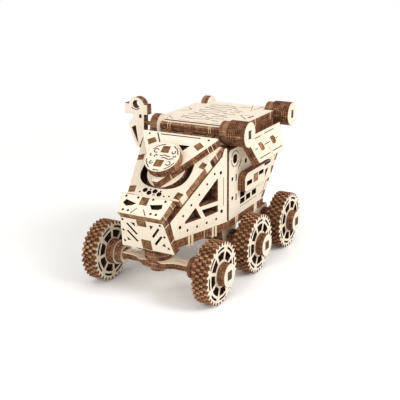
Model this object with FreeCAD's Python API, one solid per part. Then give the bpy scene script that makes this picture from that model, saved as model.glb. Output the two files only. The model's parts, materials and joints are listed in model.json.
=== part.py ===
import FreeCAD, Part
import math
import os

os.makedirs("parts", exist_ok=True)

# A small wooden model rover, in millimetres: +Z up, the front faces -Y, +X is the side with the drums.
# y is counted from the front axle and z from the ground; emit() moves everything to the stored origin.

# ---- driving dimensions ----
PLY = 3.0                # one sheet of plywood
DOUBLE = 2.0 * PLY       # most plates are two sheets glued together
RUN = 0.05               # radial clearance of a running fit
GAP = 0.4                # end gap between a turning piece and its neighbour

# wheels and axles
WHEEL_R = 22.5
WHEEL_LAYERS = 4
BOX_X = 34.5             # outer face of the rear walls
WHEEL_INNER_X = BOX_X + 4.9   # inner face of the toothed layers
WHEEL_W = WHEEL_LAYERS * PLY
HUB_R = 9.2              # inner hub discs next to the wheel
HUB_NECK_R = 7.6
HUB_NECK_W = 2.0 * PLY
CAP_R = 8.5
CAP_W = DOUBLE
BEARING_X = WHEEL_INNER_X - 11.8   # inner end of the wheel hub
SPOKE_OPEN_IN = 10.3
SPOKE_OPEN_OUT = 15.6
SPOKES = 8
SPOKE_W = 2.6
BAR_W = 6.2              # square axle bar
SLEEVE_R = 4.5           # round sleeve on the bar that the wheel turns on
WHEEL_BORE_R = SLEEVE_R + RUN
AXLE_Z = WHEEL_R
FRONT_Y = 0.0
MIDDLE_Y = 62.6
REAR_Y = 121.7

# floor
FLOOR_TOP = 44.0
FLOOR_BOTTOM = FLOOR_TOP - DOUBLE
FLOOR_FRONT_Y = -10.0
FLOOR_REAR_Y = 105.0

# front walls, toed in towards the nose: outer face at x = TOE_X0 + TOE_SLOPE * y
TOE_X0 = 22.4
TRUSS_REAR_Y = 41.4
TRUSS_TIP_Y = -13.2
TRUSS_TOP_Y = 40.1
TRUSS_TOP_Z = 100.1
SLOPE_RATIO = 0.728      # rise of the slanted front plate
SLOPE_BOTTOM_Z0 = 68.0   # its underside at y = 0

# rear box
TOE_SLOPE = (BOX_X - 0.2 - TOE_X0) / TRUSS_REAR_Y
BOX_FRONT_Y = TRUSS_REAR_Y + DOUBLE * TOE_SLOPE / math.hypot(1.0, TOE_SLOPE) + 0.64
BOX_REAR_Y = 138.0
BOX_KNEE_Y = 136.0
BOX_KNEE_Z = 75.8
POST_REAR_Y = 60.5
POD_DEPTH = DOUBLE
ROOF_TOP = 112.0
ROOF_BOTTOM = ROOF_TOP - DOUBLE
ROOF_FRONT_Y = 56.2
ROOF_REAR_Y = 132.8
ROOF_NECK_X = BOX_X - 8.6    # half width between the end discs
ROOF_X = BOX_X + 0.5         # half width over the rails
WING_DROP = 57.0         # slope of the side wings, degrees below level
WING_TOP_X = ROOF_X + DOUBLE * math.sin(math.radians(WING_DROP)) + 0.97   # outer top edge
WING_TOP_Z = ROOF_TOP - 8.2
WING_LEN = 20.4
WING_FRONT_Y = 58.0
WING_REAR_Y = 119.9      # at the top; the rear edge slants forward as it drops
WING_REAR_LOW_Y = 104.9
RIB_Y = (73.4, 95.3)

# bars across the roof, with a disc at each end and a drum on the +X side
BAR_Z = ROOF_TOP - 3.5
FRONT_BAR_Y = 52.0
REAR_BAR_Y = 131.3
DISC_R = 8.2
DISC_W = DOUBLE
DRUM_R = 9.3
DRUM_END_X = ROOF_NECK_X + 21.0
BAND_H = 6.6
BAND_CHAMFER = 1.6
KEY_W = 3.0              # flat end of the bar, seen in the drum's face
KEY_H = 6.0
JOURNAL_R = 2.5
ROD_R = 1.5
DISC_CLEAR = 0.1         # between the end discs and the rail under them
POST_TOP_Z = BAR_Z - DISC_R - DISC_CLEAR - PLY
WALL_TOP_Z = POST_TOP_Z - 0.2          # the walls stop below the roof rails
WALL_REAR_TOP = BAR_Z - max(DISC_R, DRUM_R) - 0.2   # and below the rear discs and drum
ROOF_NECK_Y = FRONT_BAR_Y + DISC_R + 0.5
ROOF_WIDE_FRONT = FRONT_BAR_Y + DISC_R + 2.4
ROOF_WIDE_REAR = REAR_BAR_Y - DISC_R - 1.6

# hatch
HATCH_GAP = 0.3          # under the hatch plate, when it lies on the slanted plate
HATCH_TIP_X = 2.2
HATCH_TIP_S = 2.2        # s runs up the slanted plate from y = 0
HATCH_END_X = 32.6
HATCH_END_S = 46.6
HATCH_DISC_R = 13.2
HATCH_DISC_S = 19.7
PLUG_R = 14.6            # half width of the rounded plug; its middle is at PLUG_S
PLUG_LONG = PLUG_R + 1.1     # half its length
PLUG_S = 17.6
HOLE_X = PLUG_R + 4.9        # half width of the opening in the slanted plate
HOLE_DOWN = PLUG_LONG + 0.7  # from HOLE_S to its lower and upper ends
HOLE_UP = PLUG_LONG + 2.9
HOLE_S = 18.0

# nose and hood
NOSE_LEAN = 17.3
HOOD_SLOPE = 41.9
HOOD_FRONT_Y = -23.5
HOOD_FRONT_Z = 63.6
HOOD_REAR_Y = -12.0
NOSE_TOP_Y = -20.25
NOSE_TOP_Z = 59.5
NOSE_BOTTOM_Y = -12.6
NOSE_BOTTOM_Z = 35.0

# steering beam
BEAM_TOP = AXLE_Z + PLY
BEAM_BOTTOM = AXLE_Z - PLY
BEAM_X = BEARING_X - GAP
PIVOT_Y = 0.5
PIVOT_PIN_R = 3.0
PIVOT_DISC_R = 9.8

REAR_MOST = REAR_Y + WHEEL_R
ORIGIN_Y = (HOOD_FRONT_Y + REAR_MOST) / 2.0


def emit(name, shape):
    moved = shape.copy()
    moved.translate(FreeCAD.Vector(0.0, -ORIGIN_Y, 0.0))
    moved.exportStep("parts/" + name + ".step")


def mirrored(shape):
    return shape.mirror(FreeCAD.Vector(0, 0, 0), FreeCAD.Vector(1, 0, 0))


def both(name, shape):
    emit("right_" + name, shape)
    emit("left_" + name, mirrored(shape))


def flat(points):
    corners = [FreeCAD.Vector(a, b, 0.0) for a, b in points]
    return Part.Face(Part.makePolygon(corners + [corners[0]]))


def placed(shape, origin, u, v):
    # puts local x along u, local y along v and local z along u x v
    u = FreeCAD.Vector(*u)
    v = FreeCAD.Vector(*v)
    u.normalize()
    v.normalize()
    n = u.cross(v)
    m = FreeCAD.Matrix(u.x, v.x, n.x, origin[0],
                       u.y, v.y, n.y, origin[1],
                       u.z, v.z, n.z, origin[2],
                       0.0, 0.0, 0.0, 1.0)
    return shape.transformGeometry(m)


def slab(points, low, high):
    # a plate drawn in its own plane, from level low to level high
    face = flat(points)
    face.translate(FreeCAD.Vector(0.0, 0.0, low))
    return face.extrude(FreeCAD.Vector(0.0, 0.0, high - low))


def x_slab(points_yz, low, high):
    return placed(slab(points_yz, low, high), (0, 0, 0), (0, 1, 0), (0, 0, 1))


def z_slab(points_xy, low, high):
    return slab(points_xy, low, high)


def y_slab(points_xz, front, back):
    # drawn in x and z; front and back are y
    return placed(slab(points_xz, -back, -front), (0, 0, 0), (1, 0, 0), (0, 0, 1))


def x_rod(radius, x0, x1, y, z):
    return Part.makeCylinder(radius, x1 - x0, FreeCAD.Vector(x0, y, z), FreeCAD.Vector(1, 0, 0))


def z_rod(radius, z0, z1, x, y):
    return Part.makeCylinder(radius, z1 - z0, FreeCAD.Vector(x, y, z0), FreeCAD.Vector(0, 0, 1))


def box(x0, x1, y0, y1, z0, z1):
    return Part.makeBox(x1 - x0, y1 - y0, z1 - z0, FreeCAD.Vector(x0, y0, z0))


def arc_points(cy, cz, radius, start, end, steps):
    out = []
    for i in range(steps + 1):
        a = math.radians(start + (end - start) * i / steps)
        out.append((cy + radius * math.cos(a), cz + radius * math.sin(a)))
    return out


def wall_x(y):
    return TOE_X0 + TOE_SLOPE * y


# ---- hood and nose ----
hood_up = (0.0, math.cos(math.radians(HOOD_SLOPE)), math.sin(math.radians(HOOD_SLOPE)))
hood_len = (HOOD_REAR_Y - HOOD_FRONT_Y) / math.cos(math.radians(HOOD_SLOPE))
hood = placed(slab([(-17.35, 0.0), (17.35, 0.0), (20.6, hood_len), (-20.6, hood_len)], -DOUBLE, 0.0),
              (0.0, HOOD_FRONT_Y, HOOD_FRONT_Z), (1, 0, 0), hood_up)
emit("hood_plate", hood)
nose_up = (0.0, NOSE_TOP_Y - NOSE_BOTTOM_Y, NOSE_TOP_Z - NOSE_BOTTOM_Z)
nose_len = math.hypot(nose_up[1], nose_up[2])
nose = placed(slab([(-21.7, 0.0), (21.7, 0.0), (17.2, nose_len), (-17.2, nose_len)], -DOUBLE, 0.0),
              (0.0, NOSE_BOTTOM_Y, NOSE_BOTTOM_Z), (1, 0, 0), nose_up)
nose = nose.cut(hood)
emit("nose_plate", nose)

# ---- floor ----
floor_inner = wall_x(FLOOR_FRONT_Y)
floor = z_slab([(-floor_inner, FLOOR_FRONT_Y), (floor_inner, FLOOR_FRONT_Y),
                (BOX_X, TRUSS_REAR_Y + 0.8), (BOX_X, FLOOR_REAR_Y),
                (-BOX_X, FLOOR_REAR_Y), (-BOX_X, TRUSS_REAR_Y + 0.8)], FLOOR_BOTTOM, FLOOR_TOP)
emit("floor_plate", floor.cut(nose))

# ---- slanted front plate ----
slope_angle = math.atan(SLOPE_RATIO)
slope_up = (0.0, math.cos(slope_angle), math.sin(slope_angle))
SLOPE_TOP_Z0 = SLOPE_BOTTOM_Z0 + DOUBLE / math.cos(slope_angle)


def on_slope(shape):
    # drawn in x and s, with local z standing off the plate's top
    return placed(shape, (0.0, 0.0, SLOPE_TOP_Z0), (1, 0, 0), slope_up)


def slope_disc(radius, s, low, high):
    return on_slope(Part.makeCylinder(radius, high - low, FreeCAD.Vector(0.0, s, low)))


def rounded(half_x, down, up, s, power, steps=48):
    # a closed curve between a circle (power 2) and a square, with its widest point at s
    out = []
    for i in range(steps):
        a = 2.0 * math.pi * (i + 0.5) / steps
        x, along = math.cos(a), math.sin(a)
        out.append((half_x * math.copysign(abs(x) ** (2.0 / power), x),
                    s + (up if along > 0 else down) * math.copysign(abs(along) ** (2.0 / power), along)))
    return out


slope_front = -8.2
slope_step = -5.4
slope_rear = 36.0
inner_front = wall_x(slope_front) - DOUBLE - 0.4
slope_outline = [(-inner_front, slope_front), (inner_front, slope_front),
                 (wall_x(slope_step) - DOUBLE, slope_step), (wall_x(slope_step), slope_step),
                 (wall_x(slope_rear), slope_rear),
                 (-wall_x(slope_rear), slope_rear), (-wall_x(slope_step), slope_step),
                 (-wall_x(slope_step) + DOUBLE, slope_step)]
front_plate = on_slope(slab([(x, y / math.cos(slope_angle)) for x, y in slope_outline], -DOUBLE, 0.0))
opening = on_slope(slab(rounded(HOLE_X, HOLE_DOWN, HOLE_UP, HOLE_S, 2.5), -DOUBLE - 1.0, 1.0))
emit("front_slope_plate", front_plate.cut(hood).cut(opening))

# ---- front walls ----
TOE_COS = 1.0 / math.hypot(1.0, TOE_SLOPE)
truss_outline = [(TRUSS_TIP_Y, SLOPE_BOTTOM_Z0 + SLOPE_RATIO * TRUSS_TIP_Y),
                 (-9.6, FLOOR_TOP),
                 (TRUSS_REAR_Y, FLOOR_TOP),
                 (TRUSS_REAR_Y, 99.0),
                 (TRUSS_TOP_Y, TRUSS_TOP_Z),
                 (38.1, 99.1),
                 (36.6, SLOPE_BOTTOM_Z0 + SLOPE_RATIO * 36.6)]
truss_windows = [[(32.0, 79.6), (32.0, 62.8), (14.4, 62.7), (13.5, 65.0)],
                 [(31.8, 59.4), (32.0, 54.6), (19.8, 53.7), (16.5, 59.6)],
                 [(10.4, 63.0), (15.6, 54.0), (0.3, 54.0), (0.2, 55.0)]]
toe_dir = (TOE_SLOPE, 1.0, 0.0)


def toe_plate(points, low, high):
    along = [(y / TOE_COS, z) for y, z in points]
    return placed(slab(along, low, high), (TOE_X0, 0.0, 0.0), toe_dir, (0, 0, 1))


truss = toe_plate(truss_outline, -DOUBLE, 0.0).cut(nose).cut(front_plate)
for window in truss_windows:
    truss = truss.cut(toe_plate(window, -DOUBLE - 1.0, 1.0))
both("front_wall", truss)

# ---- rear walls ----
post = [(BOX_FRONT_Y, FLOOR_TOP), (FLOOR_REAR_Y, FLOOR_TOP), (BOX_KNEE_Y, BOX_KNEE_Z),
        (BOX_REAR_Y, WALL_REAR_TOP), (ROOF_WIDE_REAR, WALL_REAR_TOP), (ROOF_WIDE_REAR, WALL_TOP_Z),
        (POST_REAR_Y + 1.0, WALL_TOP_Z), (POST_REAR_Y, POST_TOP_Z), (45.5, POST_TOP_Z),
        (BOX_FRONT_Y, POST_TOP_Z - 1.2)]
rear_windows = [[(62.8, 56.4), (70.6, 56.4), (70.6, 60.9), (62.8, 60.9)],
                [(62.8, 51.4), (70.8, 51.4), (70.8, 55.2), (62.8, 55.2)],
                [(73.1, 51.7), (80.7, 51.7), (80.7, 55.8), (73.1, 55.8)],
                [(83.6, 52.2), (91.2, 52.2), (91.2, 56.2), (83.6, 56.2)]]
rear_wall = x_slab(post, BOX_X - DOUBLE, BOX_X)
for window in rear_windows:
    rear_wall = rear_wall.cut(x_slab(window, BOX_X - DOUBLE - 1.0, BOX_X + 1.0))
slot = x_slab([(51.9, 85.8), (55.7, 85.8), (57.0, 87.4), (57.0, 90.6), (55.7, 92.2), (51.9, 92.2),
               (50.6, 90.6), (50.6, 87.4)], BOX_X - DOUBLE - 1.0, BOX_X + 1.0)
both("rear_wall", rear_wall.cut(slot))

pod_outline = [(105.6, 62.3), (60.8, 62.3), (58.5, 64.6), (58.5, 73.1),
               (60.2, 75.2), (63.0, 76.6), (105.6, 76.6)]
both("side_pod", x_slab(pod_outline, BOX_X, BOX_X + POD_DEPTH))

# ---- cross walls inside the rear box ----
INNER_X = BOX_X - DOUBLE
bulkhead = box(-INNER_X, INNER_X, 46.0, 46.0 + PLY, FLOOR_TOP, POST_TOP_Z)
emit("bulkhead", bulkhead)
slope_len = math.hypot(BOX_KNEE_Y - FLOOR_REAR_Y, BOX_KNEE_Z - FLOOR_TOP)
rear_lower = placed(slab([(-INNER_X, 0.0), (INNER_X, 0.0), (INNER_X, slope_len), (-INNER_X, slope_len)],
                         0.0, DOUBLE), (0.0, FLOOR_REAR_Y, FLOOR_TOP), (1, 0, 0),
                    (0.0, BOX_KNEE_Y - FLOOR_REAR_Y, BOX_KNEE_Z - FLOOR_TOP))
rear_lower = rear_lower.cut(box(-40, 40, 100, 140, BOX_KNEE_Z, 90)).cut(box(-40, 40, 90, 140, 30, FLOOR_TOP))
emit("rear_lower_plate", rear_lower)
rear_upper = x_slab([(BOX_KNEE_Y, BOX_KNEE_Z), (BOX_REAR_Y, WALL_REAR_TOP), (BOX_REAR_Y, ROOF_BOTTOM),
                     (BOX_REAR_Y - DOUBLE, ROOF_BOTTOM), (BOX_KNEE_Y - DOUBLE, BOX_KNEE_Z)],
                    -INNER_X, INNER_X)

# ---- roof ----
roof_right = [(ROOF_NECK_X, ROOF_FRONT_Y), (ROOF_NECK_X, ROOF_NECK_Y), (ROOF_NECK_X + 3.1, ROOF_WIDE_FRONT),
              (ROOF_X, ROOF_WIDE_FRONT), (ROOF_X, ROOF_WIDE_REAR), (ROOF_NECK_X, ROOF_WIDE_REAR),
              (ROOF_NECK_X, ROOF_REAR_Y)]
roof_left = [(-x, y) for x, y in reversed(roof_right)]
emit("roof_plate", z_slab(roof_right + roof_left, ROOF_BOTTOM, ROOF_TOP))
both("roof_rail", box(ROOF_X - DOUBLE, ROOF_X, ROOF_WIDE_FRONT + 0.4, ROOF_WIDE_REAR,
                      WALL_TOP_Z, ROOF_BOTTOM))
sill = box(-INNER_X, INNER_X, 46.0, ROOF_FRONT_Y + PLY, POST_TOP_Z, POST_TOP_Z + PLY)
riser = box(-ROOF_NECK_X, ROOF_NECK_X, ROOF_FRONT_Y, ROOF_FRONT_Y + PLY, POST_TOP_Z, ROOF_BOTTOM)
emit("roof_front_rail", riser.fuse(sill).removeSplitter())

# ---- end discs and drums ----
front_disc = x_rod(DISC_R, ROOF_NECK_X, ROOF_NECK_X + DISC_W, FRONT_BAR_Y, BAR_Z)
journal_hole = x_rod(JOURNAL_R + RUN, ROOF_NECK_X - 1.0, ROOF_NECK_X + DISC_W + 1.0, FRONT_BAR_Y, BAR_Z)
emit("right_front_disc", front_disc.cut(journal_hole))
blind_hole = x_rod(JOURNAL_R + RUN, ROOF_NECK_X - 1.0, ROOF_NECK_X + PLY, FRONT_BAR_Y, BAR_Z)
emit("left_front_disc", mirrored(front_disc.cut(blind_hole)))
rear_disc = x_rod(DISC_R, ROOF_NECK_X, ROOF_NECK_X + DISC_W, REAR_BAR_Y, BAR_Z)
both("rear_disc", rear_disc)
emit("rear_upper_plate", rear_upper.cut(rear_disc).cut(mirrored(rear_disc)))
emit("rear_drum", x_rod(DRUM_R, ROOF_NECK_X + DISC_W, DRUM_END_X, REAR_BAR_Y, BAR_Z))

# ---- wings ----
drop = math.radians(WING_DROP)
wing_down = (math.cos(drop), 0.0, -math.sin(drop))
# along y and down the slope; the front top corner is cut back to clear the turning drum
wing_outline = [(WING_FRONT_Y + 4.2, 0.0), (WING_FRONT_Y, 5.8), (WING_FRONT_Y, WING_LEN),
                (WING_REAR_LOW_Y - 1.9, WING_LEN), (WING_REAR_LOW_Y, WING_LEN - 1.2), (WING_REAR_Y, 0.0)]
wing = placed(slab(wing_outline, 0.0, DOUBLE), (WING_TOP_X, 0.0, WING_TOP_Z), (0, 1, 0), wing_down)
both("wing", wing)
inner_top = (WING_TOP_X - DOUBLE * math.sin(drop), WING_TOP_Z - DOUBLE * math.cos(drop))
inner_low = (inner_top[0] + 5.0 * wing_down[0], inner_top[1] + 5.0 * wing_down[2])
rib = [(ROOF_X, WALL_TOP_Z + 0.4), (ROOF_X, WALL_TOP_Z + 4.0), inner_top, inner_low]
both("wing_ribs", Part.makeCompound([y_slab(rib, y - PLY / 2.0, y + PLY / 2.0) for y in RIB_Y]))

# ---- hatch ----
v_right = [(HATCH_TIP_X, HATCH_TIP_S), (HATCH_END_X, HATCH_END_S)]
v_outline = v_right + [(-x, along) for x, along in reversed(v_right)]
PLATE_TOP = HATCH_GAP + DOUBLE
emit("hatch_plate", on_slope(slab(v_outline, HATCH_GAP, PLATE_TOP)))
emit("hatch_disc", slope_disc(HATCH_DISC_R, HATCH_DISC_S, PLATE_TOP, PLATE_TOP + DOUBLE))
plug = rounded(PLUG_R, PLUG_LONG, PLUG_LONG, PLUG_S, 1.85)
emit("hatch_plug", on_slope(slab(plug, HATCH_GAP - DOUBLE, HATCH_GAP)))
half = BAND_H / 2.0
cut = half - BAND_CHAMFER
band_profile = [(-cut, -half), (cut, -half), (half, -cut), (half, cut),
                (cut, half), (-cut, half), (-half, cut), (-half, -cut)]
band_profile = [(FRONT_BAR_Y + a, BAR_Z + b) for a, b in band_profile]
band = x_slab(band_profile, -ROOF_NECK_X + GAP, ROOF_NECK_X - GAP)
disc_end = ROOF_NECK_X + DISC_W
journal = x_rod(JOURNAL_R, -ROOF_NECK_X - PLY + GAP, disc_end + GAP, FRONT_BAR_Y, BAR_Z)
key = box(disc_end + GAP, DRUM_END_X, FRONT_BAR_Y - KEY_W / 2.0, FRONT_BAR_Y + KEY_W / 2.0,
          BAR_Z - KEY_H / 2.0, BAR_Z + KEY_H / 2.0)
emit("hatch_bar", band.fuse(journal).fuse(key).removeSplitter())
emit("front_drum", x_rod(DRUM_R, disc_end + GAP, DRUM_END_X, FRONT_BAR_Y, BAR_Z).cut(key))


def slope_point(s, off):
    # y and z of a point at s up the plate and standing off its top
    return (s * math.cos(slope_angle) - off * math.sin(slope_angle),
            SLOPE_TOP_Z0 + s * math.sin(slope_angle) + off * math.cos(slope_angle))


# the arms run from the hatch plate's upper edge to the bar
foot_low = slope_point(HATCH_END_S, HATCH_GAP)
foot_high = slope_point(HATCH_END_S, HATCH_GAP + 0.5 * DOUBLE)
ELBOW_Y = 45.0           # ahead of the bulkhead, and the arms pass over the rail behind it


def elbow(foot, end, least):
    along = (ELBOW_Y - foot[0]) / (end[0] - foot[0])
    return (ELBOW_Y, max(foot[1] + along * (end[1] - foot[1]), least))


rail_top = POST_TOP_Z + PLY + 1.0
end_low = (FRONT_BAR_Y - cut, BAR_Z - half)
end_high = (FRONT_BAR_Y - half, BAR_Z - cut)
arm = [foot_low, elbow(foot_low, end_low, rail_top), end_low, end_high,
       elbow(foot_high, end_high, rail_top + 3.0), foot_high]
emit("hatch_arms", Part.makeCompound([x_slab(arm, x0, x0 + DOUBLE) for x0 in (-21.0, -3.0, 15.0)]))

# ---- mast ----
MAST_FRONT = FRONT_BAR_Y - PLY
HEAD_X = -BOX_X - 12.1
HEAD_Z = BAR_Z + 12.4
HEAD_R = 7.1
LENS_X = HEAD_X - 0.3
LENS_Z = HEAD_Z + 1.8
LENS_R = 3.0
EAR_OUT = -10.6          # from the head's centre line
EAR_IN = 9.5
EAR_LOW = BAR_Z + 6.7
EAR_TOP = BAR_Z + 14.5


def on_mast(points):
    # x from the head's centre line, z from the bar
    return [(HEAD_X + x, BAR_Z + z) for x, z in points]


mast_outline = on_mast([(-3.4, 3.5), (-7.4, -1.5), (-4.2, -11.8), (-1.0, -18.9), (1.2, -18.9), (5.7, -9.5),
                        (6.2, -1.5)])
mast_outline += [(HEAD_X + 6.5, EAR_LOW), (HEAD_X + EAR_IN, EAR_LOW), (HEAD_X + EAR_IN, EAR_TOP)]
mast_outline += arc_points(HEAD_X, HEAD_Z, HEAD_R, 15.0, 165.0, 18)
mast_outline += [(HEAD_X + EAR_OUT, EAR_TOP), (HEAD_X + EAR_OUT, EAR_LOW), (HEAD_X - 3.4, EAR_LOW)]
mast = y_slab(mast_outline, MAST_FRONT, MAST_FRONT + DOUBLE)
mast_window = on_mast([(-5.0, -4.1), (-1.3, -2.1), (0.7, -16.8)])
mast = mast.cut(y_slab(mast_window, MAST_FRONT - 1, MAST_FRONT + DOUBLE + 1))
lens = Part.makeCylinder(LENS_R, DOUBLE + 2.0, FreeCAD.Vector(LENS_X, MAST_FRONT - 1.0, LENS_Z),
                         FreeCAD.Vector(0, 1, 0))
mast = mast.cut(lens)
mast = mast.cut(x_rod(ROD_R + RUN, HEAD_X - 13.4, HEAD_X + 16.6, FRONT_BAR_Y, BAR_Z))
emit("mast_plate", mast)
emit("mast_pin", x_rod(ROD_R, HEAD_X - 2.4, -disc_end, FRONT_BAR_Y, BAR_Z))

# ---- steering beam, with the front axle ends ----
beam_half = [(BEAM_X, 3.6), (12.0, 3.6), (8.0, 8.4), (-8.0, 8.4), (-12.0, 3.6), (-BEAM_X, 3.6)]
beam_front = [(-BEAM_X, -5.6), (-17.0, -5.8), (-10.0, -9.6), (0.0, -9.0), (10.0, -9.6), (17.0, -5.8),
              (BEAM_X, -5.6)]
beam = z_slab(beam_front + beam_half, AXLE_Z, BEAM_TOP)
beam = beam.fuse(z_slab([(-BEAM_X, -BAR_W / 2), (-9.0, -BAR_W / 2), (-7.0, -8.0), (7.0, -8.0),
                         (9.0, -BAR_W / 2), (BEAM_X, -BAR_W / 2), (BEAM_X, BAR_W / 2), (7.0, 7.0), (-7.0, 7.0),
                         (-BEAM_X, BAR_W / 2)], BEAM_BOTTOM, AXLE_Z))


def axle_end(side, y):
    # the round sleeve, then the square bar end that shows in the cap
    x0, x1 = sorted((side * (BEARING_X - GAP), side * (WHEEL_INNER_X + WHEEL_W + GAP)))
    e0, e1 = sorted((side * (WHEEL_INNER_X + WHEEL_W + GAP), side * CAP_END_X))
    sleeve = x_rod(SLEEVE_R, x0, x1, y, AXLE_Z)
    return sleeve.fuse(box(e0, e1, y - BAR_W / 2, y + BAR_W / 2, AXLE_Z - BAR_W / 2, AXLE_Z + BAR_W / 2))


CAP_END_X = WHEEL_INNER_X + WHEEL_W + CAP_W
for side in (-1, 1):
    beam = beam.fuse(axle_end(side, FRONT_Y))
pivot_hole = z_rod(PIVOT_PIN_R + RUN, 0.0, 60.0, 0.0, PIVOT_Y)
emit("front_beam", beam.cut(pivot_hole).removeSplitter())
washer = z_rod(PIVOT_DISC_R, BEAM_TOP, BEAM_TOP + PLY, 0.0, PIVOT_Y)
emit("pivot_washer", washer.cut(pivot_hole))
emit("pivot_block", z_rod(PIVOT_DISC_R, BEAM_TOP + PLY + GAP, FLOOR_BOTTOM, 0.0, PIVOT_Y).cut(nose))
pivot_pin = z_rod(PIVOT_PIN_R, BEAM_BOTTOM - GAP, BEAM_TOP + PLY + GAP, 0.0, PIVOT_Y)
pivot_pin = pivot_pin.fuse(z_rod(6.0, BEAM_BOTTOM - GAP - PLY, BEAM_BOTTOM - GAP, 0.0, PIVOT_Y))
emit("pivot_pin", pivot_pin.removeSplitter())


# ---- fixed axles and their brackets ----
def caps(y):
    parts = []
    hole = box(-70, 70, y - BAR_W / 2, y + BAR_W / 2, AXLE_Z - BAR_W / 2, AXLE_Z + BAR_W / 2)
    for side in (-1, 1):
        x0, x1 = sorted((side * (WHEEL_INNER_X + WHEEL_W + GAP), side * CAP_END_X))
        parts.append(x_rod(CAP_R, x0, x1, y, AXLE_Z).cut(hole))
    return Part.makeCompound(parts)


emit("front_caps", caps(FRONT_Y))
# outlines as y from the axle and z; the rear brackets reach forward to the floor
middle_outline = [(-12.0, FLOOR_BOTTOM), (12.0, FLOOR_BOTTOM), (12.0, AXLE_Z + 6.5), (8.0, AXLE_Z - 7.0),
                  (-8.0, AXLE_Z - 7.0), (-12.0, AXLE_Z + 6.5)]
floor_end = FLOOR_REAR_Y - REAR_Y
rear_outline = [(floor_end - 7.3, FLOOR_BOTTOM), (floor_end, FLOOR_BOTTOM), (-9.7, AXLE_Z + 9.0),
                (8.0, AXLE_Z + 9.0), (9.3, AXLE_Z + 7.0), (9.3, AXLE_Z - 3.5), (6.8, AXLE_Z - 6.0),
                (-8.5, AXLE_Z - 6.0), (-21.5, AXLE_Z + 7.0)]
# name, y, outer face of the brackets, outline
fixed_axles = [("middle", MIDDLE_Y, BEARING_X - 2.1, middle_outline),
               ("rear", REAR_Y, BEARING_X - 0.6, rear_outline)]
for name, y, bracket_x, outline in fixed_axles:
    bar = box(-BEAM_X, BEAM_X, y - BAR_W / 2, y + BAR_W / 2, AXLE_Z - BAR_W / 2, AXLE_Z + BAR_W / 2)
    axle = bar
    for side in (-1, 1):
        axle = axle.fuse(axle_end(side, y))
    emit(name + "_axle", axle.removeSplitter())
    emit(name + "_caps", caps(y))
    shape = x_slab([(y + dy, z) for dy, z in outline], bracket_x - DOUBLE, bracket_x)
    shape = shape.cut(bar)
    emit(name + "_brackets", Part.makeCompound([shape, mirrored(shape)]))

# ---- wheels ----
# name, side, y, turn of the spokes in degrees
wheels = [("front_right_wheel", 1, FRONT_Y, 26.5),
          ("middle_right_wheel", 1, MIDDLE_Y, 23.0),
          ("rear_right_wheel", 1, REAR_Y, 2.5),
          ("front_left_wheel", -1, FRONT_Y, 0.0),
          ("middle_left_wheel", -1, MIDDLE_Y, 0.0),
          ("rear_left_wheel", -1, REAR_Y, 0.0)]


def wheel(y, turn):
    x0 = WHEEL_INNER_X
    body = x_rod(WHEEL_R, x0, x0 + WHEEL_W, y, AXLE_Z)
    for i in range(SPOKES):
        middle = turn + 90.0 + 360.0 / SPOKES * (i + 0.5)
        pts = []
        for radius, sign in ((SPOKE_OPEN_IN, -1), (SPOKE_OPEN_OUT, -1),
                             (SPOKE_OPEN_OUT, 1), (SPOKE_OPEN_IN, 1)):
            spread = 180.0 / SPOKES - math.degrees(math.asin(SPOKE_W / 2.0 / radius))
            a = math.radians(middle + sign * spread)
            pts.append((y + radius * math.cos(a), AXLE_Z + radius * math.sin(a)))
        body = body.cut(x_slab(pts, x0 - 1.0, x0 + WHEEL_W + 1.0))
    body = body.fuse(x_rod(HUB_R, x0 - HUB_NECK_W, x0, y, AXLE_Z))
    body = body.fuse(x_rod(HUB_NECK_R, BEARING_X, x0 - HUB_NECK_W, y, AXLE_Z))
    return body.cut(x_rod(WHEEL_BORE_R, 0.0, 70.0, y, AXLE_Z)).removeSplitter()


for name, side, y, turn in wheels:
    shape = wheel(y, turn)
    emit(name, shape if side > 0 else mirrored(shape))
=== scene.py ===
import json
import math
import random

import bpy
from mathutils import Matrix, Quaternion, Vector
from mathutils.geometry import delaunay_2d_cdt

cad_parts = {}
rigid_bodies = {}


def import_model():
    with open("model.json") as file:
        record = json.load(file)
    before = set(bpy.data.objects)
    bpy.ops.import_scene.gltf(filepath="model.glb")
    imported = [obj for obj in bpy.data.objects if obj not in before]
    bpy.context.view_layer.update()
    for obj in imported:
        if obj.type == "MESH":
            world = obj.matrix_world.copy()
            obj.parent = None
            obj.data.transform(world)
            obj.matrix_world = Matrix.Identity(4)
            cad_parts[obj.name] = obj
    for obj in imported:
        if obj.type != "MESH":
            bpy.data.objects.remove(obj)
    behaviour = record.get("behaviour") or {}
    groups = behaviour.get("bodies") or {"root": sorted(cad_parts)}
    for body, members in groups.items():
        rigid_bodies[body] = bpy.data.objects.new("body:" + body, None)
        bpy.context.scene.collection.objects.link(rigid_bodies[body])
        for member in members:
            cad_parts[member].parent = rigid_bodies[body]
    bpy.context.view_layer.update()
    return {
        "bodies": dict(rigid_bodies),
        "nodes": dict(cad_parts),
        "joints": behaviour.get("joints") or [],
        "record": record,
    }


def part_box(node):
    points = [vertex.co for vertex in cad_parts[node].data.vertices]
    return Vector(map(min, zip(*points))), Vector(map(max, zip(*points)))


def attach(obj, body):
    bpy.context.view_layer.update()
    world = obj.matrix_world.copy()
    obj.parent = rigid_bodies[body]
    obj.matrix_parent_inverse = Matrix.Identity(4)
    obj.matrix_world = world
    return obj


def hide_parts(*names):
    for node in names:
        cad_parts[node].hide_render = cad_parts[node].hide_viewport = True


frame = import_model()
random.seed(7)

# Lengths below are millimetres: x across, y back from the front axle, z up from the ground.
low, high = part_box("front_right_wheel")
AXLE_Y = (low.y + high.y) / 2.0
AXLE_Z = (low.z + high.z) * 500.0


def mid_y(node):
    a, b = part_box(node)
    return ((a.y + b.y) / 2.0 - AXLE_Y) * 1000.0


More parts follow.
